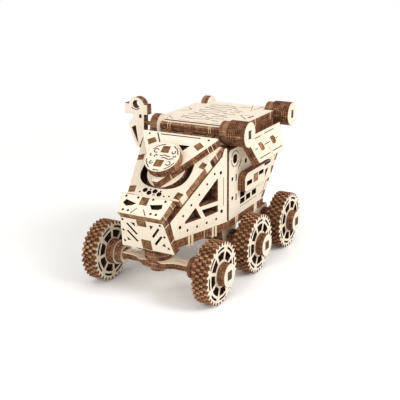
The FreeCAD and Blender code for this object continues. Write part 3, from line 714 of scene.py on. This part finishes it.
marks = mirror([dot(24, 5), dot(24, 39), line([(8, 6), (20, 6)]), line([(8, 38.5), (20, 38.5)]),
                hole([(9.5, 13), (20.5, 13), (20.5, 31), (15.0, 31)], 2.4)])
marks += [tenon(rect(-4, 2.0, 4, 5.0)), tenon(rect(-4, 39.6, 4, 42.4)),
          hole(soft(rect(-3.2, 12, 3.2, 32), 3.0), 2.4)]
p = Piece("rear_lower_ply")
p.plate(BACK_LOW, rect(-IN_X, 0.1, IN_X, 44.3), 0, DOUBLE, bottom=marks, swap=True)
p.done("rover", "rear_lower_plate")
marks = mirror([dot(24, 3), dot(24, 20), line([(9, 19), (20, 19)])]) + [tenon(rect(-4, 19.2, 4, 21.6))]
for i in range(5):
    marks.append(hole(soft(rect(-16 + i * 7, 6, -12 + i * 7, 15), 1.4), 2.0))
p = Piece("rear_upper_ply")
p.plate(BACK_UP, rect(-IN_X, 0.1, IN_X, 23.28), 0, DOUBLE, bottom=marks)
p.plate(CROSS, rect(-DISC_X0 + .1, 99.1, DISC_X0 - .1, ROOF_LOW - RUN), -END_Y, DOUBLE - END_Y,
        bottom=[line([(-18, 102.5), (18, 102.5)])])
p.done("rover", "rear_upper_plate")

roof_out = both_x([(DISC_X0, RAIL_Y), (DISC_X0, 60.7), (29.0, 62.6), (ROOF_X, 62.6), (ROOF_X, RAIL_END),
                   (DISC_X0, RAIL_END), (DISC_X0, 132.8)])
marks = []
for row in range(9):
    # a long engraved wave, broken at uneven places
    y0, x, phase = 68.0 + row * 6.6, -21.0 + random.uniform(0, 4), random.uniform(0, 6.28)
    while x < 9:
        x1 = min(x + random.uniform(16, 30), 14.5)
        count = max(3, int((x1 - x) / 1.2))
        steps = [x + (x1 - x) * k / count for k in range(count + 1)]
        wave = [(u, y0 + 1.3 * math.sin(0.30 * u + phase) + 0.4 * math.sin(0.8 * u + row)) for u in steps]
        marks.append(line(wave, 1.15))
        x = x1 + random.uniform(1.6, 3.4)
marks += [line([(29.5, 82), (19.5, 93.4)], .8), line([(19.5, 94.8), (26.8, 95.9)], .8),
          line([(-21.4, 60.5), (-29.0, 67.0)], .7),
          line([(-30.5, 88), (-24.6, 94)], .8), line([(-24.6, 95.4), (-30.5, 101.5)], .8),
          line([(18.6, 112), (21.2, 122), (21.2, 130)], .7),
          line([(-16, 59.4), (-6, 59.4)], .6), line([(-3, 59.4), (8, 59.4)], .6),
          line([(12, 60.6), (20.6, 60.6), (28.4, 67.4)], .7),
          hole([(27.4, 88.0), (29.4, 87.6), (30.6, 94.6), (29.0, 95.6)], .6),
          line([(17.2, 118), (13.0, 130)], .6)]
p = Piece("roof_ply")
p.plate(LEVEL, roof_out, ROOF_LOW, ROOF, top=marks, swap=True,
        tabs=both_tabs([(ROOF_X, a, ROOF_X, b, FACE) for a, b in ((114.5, 115.3), (86.5, 87.2))]))
p.done("rover", "roof_plate")


def build_rail(p):
    p.plate(SIDE, rect(63.0, 97.05, RAIL_END, ROOF_LOW - RUN), ROOF_X - DOUBLE, ROOF_X, faces=BURN_AND_SHADE)


pair("roof_rail", "rover", build_rail)
p = Piece("front_rail_ply")
p.plate(CROSS, rect(-DISC_X0 + RUN, WALL_TOP + PLY + RUN, DISC_X0 - RUN, ROOF_LOW - RUN), -RAIL_Y - PLY,
        -RAIL_Y, top=[line([(-18, 103.4), (18, 103.4)], .7)])
p.plate(LEVEL, rect(-IN_X, BULKHEAD_Y, IN_X, RAIL_Y + PLY), WALL_TOP + RUN, WALL_TOP + PLY,
        tabs=[((-4, BULKHEAD_Y), (4, BULKHEAD_Y), TAB)])
p.done("rover", "roof_front_rail")


# ---------------------------------------------------------------- end discs, drums and bars
def rim(steps, mat=BURN_AND_SHADE):
    # a burnt rim with the pale nick where the sheet was held, at the front
    return [WARM if i == steps // 2 else mat for i in range(steps)]


def key(y, more_y=0.0, more_z=0.0):
    return rect(y - KEY_Y - more_y, BAR_Z - KEY_Z - more_z, y + KEY_Y + more_y, BAR_Z + KEY_Z + more_z)


for side in ("right", "left"):
    for where, y in (("front", BAR_Y), ("rear", REAR_BAR_Y)):
        p = Piece(f"{side}_{where}_disc_ply")
        p.flip = side == "left"
        bore = [ring(y, BAR_Z, JOURNAL_R + RUN, 20)] if where == "front" else []
        # the journal ends inside the left disc, so its outer sheet is whole
        through = not (p.flip and where == "front")
        middle = (DISC_X0 + DISC_X1) / 2.0
        for a, b, holes, mat in ((DISC_X0, middle - .06, bore, BURN_AND_SHADE),
                                 (middle + .06, DISC_X1, bore if through else [],
                                  WARM if through else TENON)):
            p.plate(SIDE, ring(y, BAR_Z, DISC_R, 56), a, b, holes=holes, side=rim(56, mat), hole_side=DARK,
                    seams=[])
        p.done("rover", f"{side}_{where}_disc")

for name, body, y, x0, look in (("front_drum", "hatch", BAR_Y, DRUM_X0, {"holes": [key(BAR_Y, RUN, RUN)]}),
                                ("rear_drum", "rover", REAR_BAR_Y, DISC_X1,
                                 {"top": [hole(key(REAR_BAR_Y, .1, .2), .3, BAR)]})):
    p = Piece(name + "_ply")
    p.plate(SIDE, ring(y, BAR_Z, DRUM_R, 64), x0, DRUM_X1, seam=.3, layer=1.5, side=rim(64), hole_side=DARK,
            **look)
    p.done(body, name)

p = Piece("hatch_bar_ply")
x, front = DISC_X0 - 0.4, BAR_Y - BAR_HALF
ticks = [((a, front), (a + .4, front), TAB) for a in (-19.4, -17.4, 15.0, 16.6)]
p.plate(LEVEL, rect(-x, front, x, BAR_Y + BAR_HALF), BAR_Z - BAR_HALF, BAR_Z + BAR_HALF, bevel=1.55,
        tabs=ticks, layer=BAR_HALF, chamfer=(WARM, WARM))
for x0, x1 in ((x, DISC_X1 + .35), (-DISC_X0 - 2.6, -x)):
    p.plate(SIDE, ring(BAR_Y, BAR_Z, JOURNAL_R, 20), x0, x1, side=TENON, faces=TENON, seams=[])
p.plate(SIDE, key(BAR_Y), DISC_X1 + .35, DRUM_X1 - .3, faces=BAR, seams=[])
p.done("hatch", "hatch_bar")

# ---------------------------------------------------------------- hatch
marks = mirror([tenon([(15.0, 37.2), (18.6, 41.2), (23.5, 38.0), (20.2, 33.4)]), dot(24.5, 44.0, .9)])
marks += [hole([(3.4, 36.9), (12.3, 37.0), (8.8, 31.8)], 3.0),
          (stroke([(-15.2, 44.6), (17.4, 44.8)], 0.9), .8, CUT, BURN_AND_SHADE),
          line([(-18.2, 45.4), (-12.4, 37.0)], 1.0)]
hatch_out = [(2.2, 2.2), (30.9, 44.0), (31.5, 45.4), (31.0, 46.4), (30.0, HATCH_TOP)]
# nicks along the first, slanted edge, at shares of its length
hatch_tabs = both_tabs([(2.2 + 28.7 * a, 2.2 + 41.8 * a, 2.2 + 28.7 * b, 2.2 + 41.8 * b, TAB)
                        for a, b in ((0.20, 0.21), (0.83, 0.842), (0.90, 0.91))])
p = Piece("hatch_ply")
p.plate(SLOPE, both_x(hatch_out), HATCH0, HATCH0 + DOUBLE, top=marks, tabs=hatch_tabs,
        bottom=[line([(-12, 42), (12, 42)])])
p.done("hatch", "hatch_plate")

marks = [tenon([(-3.4, 29.7), (2.6, 29.9), (3.0, 23.7), (-3.4, 23.6)]),
         tenon([(-3.4, 17.1), (3.0, 17.3), (2.8, 11.1), (-3.5, 10.9)])]
# engraved rings of craters and a few contour lines
for cx, cy, r, a0, a1 in ((-6.9, 24.8, 1.7, 20, 310), (6.9, 15.0, 1.6, 200, 480), (-6.6, 14.2, 1.2, 80, 380),
                          (7.0, 25.0, 1.3, 150, 430),
                          (-5.4, 20.2, 1.0, 0, 250), (-9.4, 20.8, 0.9, 90, 320), (9.0, 21.9, 0.9, 180, 400)):
    marks.append(line(arc(cx, cy, r, a0, a1, 14), .85))
for a0, a1 in ((18, 66), (100, 150), (196, 238), (300, 342), (258, 282)):
    marks.append(line([(x + .25 * math.sin(i * 2.1), y + .25 * math.cos(i * 1.7))
                       for i, (x, y) in enumerate(arc(0, 19.7, 11.6, a0, a1, (a1 - a0) // 4))], .85))
for x0, x1, y in ((-2.4, 5.8, 21.3), (-0.4, 9.2, 19.0)):
    marks.append(line([(x0 + (x1 - x0) * k / 8, y + .45 * math.sin(k * 1.1 + x0)) for k in range(9)], .85))
p = Piece("hatch_disc_ply")
# painted highlight: the rim is lighter on its right side, where the light falls
p.plate(SLOPE, ring(0, 19.7, 13.2, 72), HATCH0 + DOUBLE, HATCH0 + 2 * DOUBLE, top=marks,
        side=[WARM if i < 11 or i > 66 else BURN_AND_SHADE for i in range(72)])
p.done("hatch", "hatch_disc")
p = Piece("hatch_plug_ply")
p.plate(SLOPE, rounded(14.6, 15.7, 15.7, 17.6, 1.85), HATCH0 - DOUBLE, HATCH0 - RUN,
        bottom=[line(arc(0, 17.6, 11.5, 0, 350, 60), .6)])
p.done("hatch", "hatch_plug")


def slope_point(s, off):
    # y and z of a point s along the slanted plate and off above it
    return (s * SLOPE_COS - off * SLOPE_SIN, SLOPE_Z + s * SLOPE_SIN + off * SLOPE_COS)


p = Piece("hatch_arms_ply")
arm = [slope_point(HATCH_TOP, HATCH0), (BAR_Y - 1.7, BAR_Z - BAR_HALF), (BAR_Y - BAR_HALF, BAR_Z - 1.7),
       slope_point(HATCH_TOP, HATCH0 + PLY)]
for x0 in (-21.0, -3.0, 15.0):
    p.plate(SIDE, arm, x0, x0 + DOUBLE, faces=BURN_AND_SHADE)
p.done("hatch", "hatch_arms")


# ---------------------------------------------------------------- wings
def build_wing(p):
    out = [(62.2, 0.0), (58.0, 5.8), (58.0, 19.6), (58.8, 20.4), (103.0, 20.4), (104.9, 19.2), (119.9, 0.0)]
    marks = [hole(soft([(70.3, 7.2), (75.6, 7.0), (77.2, 9.0), (77.2, 11.4), (75.4, 13.4), (70.3, 13.3)], .6,
                       2), .25, WARM),
             hole(soft([(91.8, 7.0), (98.6, 6.6), (99.8, 9.2), (98.8, 11.4), (96.0, 13.0), (91.8, 12.9)], .6,
                       2), .25, TENON)]
    marks += [line([(a0, b0), (a1, b1)], width) for a0, b0, a1, b1, width in (
        (68, 2.9, 80.4, 2.9, .65), (87, 2.6, 104.6, 2.4, .65), (78.8, 10.1, 89, 10.0, .65),
        (100.4, 9.8, 105.0, 9.6, .5), (62.2, 17.5, 81.0, 17.4, .65), (85.4, 17.2, 103.6, 17.2, .65),
        (63.0, 10.2, 66.8, 10.2, .65))]
    # the faint line across it
    for b0, b1 in ((.6, 9.2), (10.9, 19.8)):
        marks.append((stroke([(83.4, b0), (83.4, b1)], .35), .12, TENON, TENON))
    p.plate(WING, out, 0, DOUBLE, bottom=marks, top=[line([(66, 10), (100, 10)], .6)],
            tabs=[((118.4, 1.9), (113.6, 8.1), DARK)])


pair("wing", "rover", build_wing)


def build_ribs(p):
    # under the wing's inner face
    ox, oz = WING_X - DOUBLE * math.sin(WING_A), WING_Z - DOUBLE * math.cos(WING_A)
    rib = [(ROOF_X, 97.4), (ROOF_X, 101.0), (ox, oz), (ox + 5 * math.cos(WING_A), oz - 5 * math.sin(WING_A))]
    for y in (73.4, 95.3):
        p.plate(CROSS, rib, -y - PLY / 2, -y + PLY / 2)


pair("wing_ribs", "rover", build_ribs)

# ---------------------------------------------------------------- mast
mast_out = [(-50.0, 112.0), (-53.2, 108.2), (-53.9, 106.9), (-53.6, 105.6), (-50.8, 96.7), (-48.0, 90.4),
            (-47.2, 89.6), (-45.9, 89.6),
            (-45.1, 90.2), (-40.9, 99.0), (-40.4, 107.0), (-40.1, 115.2), (-37.1, 115.2), (-37.1, 123.0)]
mast_out += arc(-46.6, 120.9, 7.1, 15.0, 165.0, 24) + [(-57.2, 123.0), (-57.2, 115.2), (-50.0, 115.2)]
marks = [line([(-51.2, 120.3), (-49.9, 119.2), (-47.8, 118.6), (-45.6, 118.9), (-43.8, 119.9)], .7),
         hole(rect(-44.5, 112.4, -42.3, 115.2))]
lens = (-46.9, 122.7)
p = Piece("mast_ply")
p.plate(CROSS, mast_out, -BAR_Y - PLY, -BAR_Y + PLY,
        holes=[[(-51.6, 104.4), (-47.9, 106.4), (-45.9, 91.7)], ring(*lens, 3.0, 28)], top=marks,
        swap=True, hole_side=BURN_AND_SHADE, bottom=[line(arc(*lens, 4.4, 20, 340, 24), .6)])
p.done("mast", "mast_plate")
p = Piece("mast_pin_ply")
p.plate(SIDE, ring(BAR_Y, BAR_Z, MAST_PIN_R, 20), -49.0, -DISC_X1, side=TENON, faces=TENON, seams=[])
p.done("rover", "mast_pin")


# ---------------------------------------------------------------- axles
def square(y, half):
    return rect(y - half, AXLE_Z - half, y + half, AXLE_Z + half)


def axle_ends(p, y):
    for s in (1, -1):
        a, b = sorted((s * (WHEEL_X0 - GAP), s * (WHEEL_X1 + GAP)))
        p.plate(SIDE, ring(y, AXLE_Z, AXLE_R, 32), a, b, side=TENON, faces=TENON, seams=[])
        a, b = sorted((s * (WHEEL_X1 + GAP), s * (CAP_X1 - .15)))
        p.plate(SIDE, square(y, AXLE_HALF), a, b, side=DARK, faces=BAR, seams=[])


def caps(name, body, node, y):
    p = Piece(name)
    for s in (1, -1):
        a, b = sorted((s * (WHEEL_X1 + GAP), s * CAP_X1))
        p.plate(SIDE, ring(y, AXLE_Z, CAP_R, 48), a, b, holes=[square(y, AXLE_HALF + RUN)])
    p.done(body, node)


END = WHEEL_X0 - GAP                 # the axles' square part ends short of the wheels


def front_wave(x):
    # the beam's front edge: a lobe on each side and a point in the middle
    lobe = 4.1 * math.exp(-((abs(x) - 8.5) / 5.2) ** 2)
    return -5.6 - lobe - (1.2 if abs(x) < 5 else 0.0) * (1 - abs(x) / 5)


upper = [(-END, -5.6)] + [(x, front_wave(x)) for x in range(-24, 25, 2)] + [(END, -5.6)]
upper += both_x([(END, 3.6), (12, 3.6), (10.6, 4.4), (9.3, 7.0), (8, 8.0), (6.6, 8.4)])
front = [(END, -3.1), (14.5, -3.1), (11.0, -5.0), (8.0, -7.4), (4, -8.0)]
lower = [(-x, y) for x, y in front] + front[::-1] + both_x([(END, 3.1), (8.4, 3.1), (7.0, 6.4), (5.6, 7.0)])
pin_hole = ring(0, PIN_Y, PIN_R + RUN, 24)
p = Piece("front_beam_ply")
p.plate(LEVEL, upper, AXLE_Z + .05, AXLE_Z + PLY, holes=[pin_hole], faces=TAB, bevel=.4, chamfer=(TAB, BURN_AND_SHADE),
        top=[line([(-23, -1), (-14, -1)]), line([(14, -1), (23, -1)])])
p.plate(LEVEL, lower, AXLE_Z - PLY, AXLE_Z - .05, holes=[pin_hole], bevel=.3, chamfer=(BURN_AND_SHADE, TAB))
axle_ends(p, 0.0)
p.done("steering_beam", "front_beam")
caps("front_caps_ply", "steering_beam", "front_caps", 0.0)
p = Piece("pivot_washer_ply")
p.plate(LEVEL, ring(0, PIN_Y, WASHER_R, 56), AXLE_Z + PLY, AXLE_Z + DOUBLE, holes=[pin_hole])
p.done("steering_beam", "pivot_washer")
p = Piece("pivot_block_ply")
p.plate(LEVEL, ring(0, PIN_Y, WASHER_R, 56), AXLE_Z + DOUBLE + GAP, FLOOR0, seam=.4)
p.done("rover", "pivot_block")
p = Piece("pivot_pin_ply")
p.plate(LEVEL, ring(0, PIN_Y, PIN_R, 24), AXLE_Z - PLY - GAP, AXLE_Z + DOUBLE + GAP, side=TENON)
p.plate(LEVEL, ring(0, PIN_Y, 2 * PIN_R, 40), AXLE_Z - DOUBLE - GAP, AXLE_Z - PLY - GAP,
        bottom=[hole(rect(-1.5, -2.5, 1.5, 3.5), .4, TENON)])
p.done("rover", "pivot_pin")

middle_out = [(-12, FLOOR0), (12, FLOOR0), (12, 29.0), (8, 15.5), (-8, 15.5), (-12, 29.0)]
rear_out = [(-24.0, FLOOR0), (-16.7, FLOOR0), (-9.7, 31.5), (8.0, 31.5), (9.3, 29.5), (9.3, 19.0),
            (6.8, 16.5), (-8.5, 16.5), (-21.5, 29.5)]
for name, y, x1, outline in (("middle", MIDDLE_Y, WHEEL_X0 - 2.1, middle_out),
                             ("rear", REAR_Y, WHEEL_X0 - .6, rear_out)):
    p = Piece(name + "_axle_ply")
    p.plate(LEVEL, rect(-END, y - AXLE_HALF, END, y + AXLE_HALF), AXLE_Z - AXLE_HALF, AXLE_Z + AXLE_HALF,
            layer=AXLE_HALF)
    axle_ends(p, y)
    p.done("rover", name + "_axle")
    caps(name + "_caps_ply", "rover", name + "_caps", y)
    p = Piece(name + "_brackets_ply")
    shape = soft([(y + a, z) for a, z in outline], 1.2, 3)
    for flip in (False, True):
        p.flip = flip
        p.plate(SIDE, shape, x1 - DOUBLE, x1, holes=[square(y, AXLE_HALF + RUN)],
                top=[dot(y - 6.5, 20.0), dot(y + 6.0, 20.0)])
    p.done("rover", name + "_brackets")

# ---------------------------------------------------------------- wheels
TEETH, SPOKES, SHEETS = 32, 8, 4
TOOTH = (BURN_AND_SHADE, BURN_AND_SHADE, TIP_HIGHLIGHT, TIP_HIGHLIGHT, TIP_HIGHLIGHT, BURN_AND_SHADE, BURN_AND_SHADE)     # burnt valleys, and tips painted pale as a painted highlight


def tread(y, turn):
    # the toothed outline: per tooth, angles as shares of the pitch, and radii
    out = []
    pitch = 360.0 / TEETH
    for i in range(TEETH):
        a = turn + pitch * i
        for da, r in ((-.50, 20.35), (-.32, 20.5), (-.19, 22.3), (-.10, 22.5), (.10, 22.5), (.19, 22.3),
                      (.32, 20.5)):
            t = math.radians(a + da * pitch)
            out.append((y + r * math.cos(t), AXLE_Z + r * math.sin(t)))
    return out


def sector(y, middle, r0, r1, bar):
    # an opening between two spokes of that width
    out = []
    for r, steps, sign in ((r0, 5, -1), (r1, 7, 1)):
        spread = 180.0 / SPOKES - math.degrees(math.asin(bar / 2.0 / r))
        pts = arc(y, AXLE_Z, r, middle - spread, middle + spread, steps)
        out += pts if sign > 0 else list(reversed(pts))
    return out


def build_wheel(p, y, turn):
    # toothed sheets, every second one turned by half a tooth, and two sleeves on the inner side
    x0 = WHEEL_X1 - SHEETS * PLY
    middles = [turn + 90.0 + 360.0 / SPOKES * (i + .5) for i in range(SPOKES)]
    bore = ring(y, AXLE_Z, AXLE_R + RUN, 28)
    slots = [hole(sector(y, m, 17.5, 19.1, 5.2), 2.4) for m in middles]
    gaps = [sector(y, m, 10.3, 15.6, 2.6) for m in middles]
    for k in range(SHEETS):
        inner, outer = k == 0, k == SHEETS - 1
        p.plate(SIDE, tread(y, turn + 90.0 + (k % 2) * 180.0 / TEETH), x0 + PLY * k + .03,
                x0 + PLY * (k + 1) - .03,
                holes=gaps + [bore], seams=[], bevel=.12, side=TOOTH, hole_side=DARK,
                top=slots if outer else (), bottom=slots if inner else (),
                faces=FACE if outer else TENON, low_faces=FACE if inner else TENON)
    p.plate(SIDE, ring(y, AXLE_Z, 9.2, 56), x0 - DOUBLE, x0, holes=[bore], seam=.35)
    p.plate(SIDE, ring(y, AXLE_Z, 7.6, 48), WHEEL_X0, x0 - DOUBLE, holes=[bore], seam=.35)


for name, y, flip, turn in (("front_right", 0.0, False, 26.5), ("middle_right", MIDDLE_Y, False, 23.0),
                            ("rear_right", REAR_Y, False, 2.5),
                            ("front_left", 0.0, True, 0.0), ("middle_left", MIDDLE_Y, True, 0.0),
                            ("rear_left", REAR_Y, True, 0.0)):
    p = Piece(name + "_wheel_ply")
    p.flip = flip
    build_wheel(p, y, turn)
    p.done(name + "_wheel_body", name + "_wheel")

# ---------------------------------------------------------------- floor, light and camera
FLOOR_HALF = 6.0                          # metres, as are the lengths below
SHADOW_NEAR, SHADOW_FAR = 0.22, 0.55      # the floor turns to white between these distances
CAMERA_PLACE, CAMERA_BACK = (0.2697, -0.48755, 0.2372), (0.457, -0.8305, 0.3185)
CAMERA_LENS, CAMERA_ROLL = 68.53, -0.45   # millimetres and degrees

scene = bpy.context.scene
m, nt, shader = start("pale_floor")
nt.nodes.remove(shader)
out = next(n for n in nt.nodes if n.type == "OUTPUT_MATERIAL")
diffuse = nt.nodes.new("ShaderNodeBsdfDiffuse")
path = nt.nodes.new("ShaderNodeLightPath")
seen = maths(nt, "MAXIMUM", path.outputs["Is Camera Ray"], path.outputs["Is Glossy Ray"])
seen = maths(nt, "MAXIMUM", seen, path.outputs["Is Transmission Ray"])
nt.links.new(mix(nt, "MIX", seen, (0.80, 0.79, 0.77, 1), (1.06, 1.06, 1.06, 1)), diffuse.inputs[0])
# away from the object the floor is plain white, and near it keeps the object's shadow
glow = nt.nodes.new("ShaderNodeEmission")
glow.inputs[0].default_value = WHITE
glow.inputs[1].default_value = 1.0
place = nt.nodes.new("ShaderNodeNewGeometry")
reach = nt.nodes.new("ShaderNodeVectorMath")
reach.operation = "LENGTH"
nt.links.new(place.outputs["Position"], reach.inputs[0])
far = nt.nodes.new("ShaderNodeMapRange")
far.interpolation_type = "SMOOTHSTEP"
far.inputs["From Min"].default_value, far.inputs["From Max"].default_value = SHADOW_NEAR, SHADOW_FAR
nt.links.new(reach.outputs["Value"], far.inputs["Value"])
blend = nt.nodes.new("ShaderNodeMixShader")
nt.links.new(maths(nt, "MULTIPLY", far.outputs[0], seen), blend.inputs[0])
nt.links.new(diffuse.outputs[0], blend.inputs[1])
nt.links.new(glow.outputs[0], blend.inputs[2])
nt.links.new(blend.outputs[0], out.inputs[0])
me = bpy.data.meshes.new("pale_floor")
me.from_pydata([(x, y, 0.0) for x, y in rect(-FLOOR_HALF, -FLOOR_HALF, FLOOR_HALF, FLOOR_HALF)], [],
               [(0, 1, 2, 3)])
me.materials.append(m)
ground = bpy.data.objects.new("pale_floor", me)
scene.collection.objects.link(ground)

world = bpy.data.worlds.new("studio")
scene.world = world
world.use_nodes = True
nt = world.node_tree
for n in list(nt.nodes):
    nt.nodes.remove(n)
out = nt.nodes.new("ShaderNodeOutputWorld")
bg = nt.nodes.new("ShaderNodeBackground")
path = nt.nodes.new("ShaderNodeLightPath")
seen = maths(nt, "MAXIMUM", path.outputs["Is Camera Ray"], path.outputs["Is Transmission Ray"])
nt.links.new(mix(nt, "MIX", seen, (0.72, 0.715, 0.70, 1), WHITE), bg.inputs[0])
nt.links.new(bg.outputs[0], out.inputs[0])


def lamp(name, place, target, size, power, colour=WHITE[:3]):
    # a round lamp at place, turned to target; size is its width and power is in watts
    light = bpy.data.lights.new(name, "AREA")
    light.shape = "DISK"
    light.size = size
    light.energy = power
    light.color = colour
    ob = bpy.data.objects.new(name, light)
    scene.collection.objects.link(ob)
    ob.location = place
    ob.rotation_mode = "QUATERNION"
    ob.rotation_quaternion = (Vector(target) - Vector(place)).to_track_quat("-Z", "Y")


lamp("key", (0.85, 0.02, 0.74), (0.0, 0.0, 0.04), 0.55, 6.0, (1.0, 0.99, 0.975))
lamp("front", (-0.15, -1.1, 0.55), (0.0, 0.0, 0.05), 0.8, 5.1)

camera = bpy.data.objects.new("camera", bpy.data.cameras.new("camera"))
scene.collection.objects.link(camera)
camera.data.lens = CAMERA_LENS
camera.data.sensor_width = 36.0
camera.data.clip_start, camera.data.clip_end = 0.01, 20.0
camera.location = CAMERA_PLACE
camera.rotation_mode = "QUATERNION"
level = unit(CAMERA_BACK).to_track_quat("Z", "Y")
camera.rotation_quaternion = level @ Quaternion((0, 0, 1), math.radians(CAMERA_ROLL))
scene.camera = camera

scene.view_settings.view_transform = "Standard"
